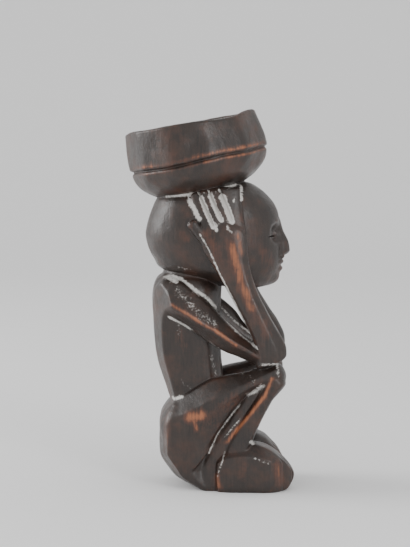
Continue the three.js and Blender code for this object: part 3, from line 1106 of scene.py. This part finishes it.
def dark_wood():
    material = plain_material("dark_wood", DARK_BROWN, 0.4)
    n = Nodes(material)
    space = n.millimetres()
    grain_space = n.millimetres((1, 1, 0.07))
    clouds = n.noise(space, 16, detail=4)
    grain = n.noise(grain_space, 1.1, detail=4, distortion=0.6)
    fine_grain = n.noise(grain_space, 0.42, detail=2)
    speckle = n.noise(space, 1.0, detail=4, roughness=0.65)
    patches = n.noise(space, 5.5, detail=4, roughness=0.6)

    tone = n.range(n.maths("MULTIPLY_ADD", grain, 0.5, n.maths("MULTIPLY", clouds, 0.6)), 0.38, 0.72)
    colour = n.mix(tone, BLACK_BROWN, DARK_BROWN)
    reddish = n.range(n.maths("MULTIPLY_ADD", clouds, 0.6, n.maths("MULTIPLY", patches, 0.5)), 0.54, 0.72, 0, 0.5)
    colour = n.mix(reddish, colour, RED_BROWN)

    worn_edges = n.maths("MULTIPLY", n.attribute("edge"), 0.55)
    wear = n.maths("MAXIMUM", n.attribute("wear"), worn_edges)
    broken = n.maths("MULTIPLY_ADD", grain, 0.9, n.maths("MULTIPLY", patches, 0.8))
    worn = n.maths("ADD", wear, n.maths("SUBTRACT", broken, 0.85))
    worn_red = n.range(worn, 0.25, 0.75, 0, 0.9)
    worn_orange = n.range(worn, 0.72, 1.15, 0, 0.85)
    colour = n.mix(worn_red, colour, RED_BROWN)
    colour = n.mix(worn_orange, colour, WORN_ORANGE)

    film = n.range(n.maths("MULTIPLY", n.attribute("pit"), patches), 0.2, 0.6, 0, 0.35)
    colour = n.mix(film, colour, GREY_FILM)
    # Pale dust in the hollows and along the marked lines; one of those lines is a painted highlight.
    clinging = n.maths("MULTIPLY", n.attribute("hollow"), 0.30)
    dust_and_sheen = n.maths("MAXIMUM", n.attribute("dust_and_sheen"), clinging)
    flecks = n.maths("MULTIPLY_ADD", speckle, 1.1, n.maths("MULTIPLY", patches, 0.5))
    dust_and_sheen_edge = n.maths("ADD", dust_and_sheen, n.maths("SUBTRACT", flecks, 0.8))
    dust_and_sheen_mask = n.range(dust_and_sheen_edge, 0.42, 0.72, 0, 0.92)
    colour = n.mix(dust_and_sheen_mask, colour, PALE_DUST_AND_SHEEN)

    roughness = n.range(patches, 0.3, 0.7, 0.30, 0.46)
    roughness = n.mix_number(worn_orange, roughness, 0.5)
    roughness = n.mix_number(dust_and_sheen_mask, roughness, 0.85)

    height = n.maths("MULTIPLY_ADD", fine_grain, 0.35, n.maths("MULTIPLY", speckle, 0.5))
    height = n.maths("MULTIPLY_ADD", patches, 1.1, height)
    height = n.maths("MULTIPLY_ADD", dust_and_sheen_mask, 0.25, height)
    bumps = n.add("ShaderNodeBump", {"Height": height, "Strength": 0.7, "Distance": 0.0003})
    shader = material.node_tree.nodes["Principled BSDF"]
    links = material.node_tree.links
    links.new(colour, shader.inputs["Base Color"])
    links.new(roughness, shader.inputs["Roughness"])
    links.new(bumps.outputs["Normal"], shader.inputs["Normal"])
    shader.inputs["Specular IOR Level"].default_value = 0.55
    return material


wood = dark_wood()
mesh.materials.clear()
mesh.materials.append(wood)

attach(carving, "root")
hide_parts("carved_figure_bowl")


# Stage: a pale sweep, soft lights and the camera of the photograph.

FLOOR_HALF = 4.0
SWEEP_Y = 1.2


def stage_sweep():
    steps = 12
    rows = [(-FLOOR_HALF, 0.0), (SWEEP_Y, 0.0)]
    for i in range(1, steps + 1):
        a = i / steps * math.pi / 2
        rows.append((SWEEP_Y + math.sin(a), 1 - math.cos(a)))
    rows.append((SWEEP_Y + 1, 4.0))
    points = [(x, y, z) for y, z in rows for x in (-FLOOR_HALF, FLOOR_HALF)]
    faces = [(2 * i, 2 * i + 1, 2 * i + 3, 2 * i + 2) for i in range(len(rows) - 1)]
    sweep_mesh = bpy.data.meshes.new("floor")
    sweep_mesh.from_pydata(points, [], faces)
    sweep_mesh.polygons.foreach_set("use_smooth", np.ones(len(faces), bool))
    sweep = bpy.data.objects.new("floor", sweep_mesh)
    bpy.context.collection.objects.link(sweep)
    sweep_mesh.materials.append(plain_material("pale_paper", (0.88, 0.88, 0.88), 0.9))
    return sweep


stage_sweep()

world = bpy.data.worlds.new("studio")
bpy.context.scene.world = world
world.use_nodes = True
background = world.node_tree.nodes["Background"]
background.inputs["Color"].default_value = (1, 1, 1, 1)
background.inputs["Strength"].default_value = 0.95


def soft_light(name, place, aim, size, watts):
    data = bpy.data.lights.new(name, "AREA")
    data.shape = "RECTANGLE"
    data.size, data.size_y = size
    data.energy = watts
    light = bpy.data.objects.new(name, data)
    light.location = place
    light.rotation_euler = (Vector(aim) - Vector(place)).to_track_quat("-Z", "Y").to_euler()
    bpy.context.collection.objects.link(light)
    return light


soft_light("key", (-1.2, 0.2, 0.5), (0, 0, 0.09), (0.7, 0.7), 12)
soft_light("fill", (0.62, -1.05, 0.46), (0, 0, 0.1), (0.28, 0.4), 5)

CAMERA_PLACE = Vector((-0.0025, -1.0, 0.196))
CAMERA_AIM = Vector((-0.0025, 0, 0.106))
PIXELS_PER_METRE = 2000
SENSOR = 24.0
PHOTO_HEIGHT = 547

camera_data = bpy.data.cameras.new("camera")
camera_data.sensor_fit = "VERTICAL"
camera_data.sensor_height = SENSOR
distance = (CAMERA_AIM - CAMERA_PLACE).length
camera_data.lens = SENSOR * distance * PIXELS_PER_METRE / PHOTO_HEIGHT
camera = bpy.data.objects.new("camera", camera_data)
camera.location = CAMERA_PLACE
camera.rotation_euler = (CAMERA_AIM - CAMERA_PLACE).to_track_quat("-Z", "Y").to_euler()
bpy.context.collection.objects.link(camera)
bpy.context.scene.camera = camera
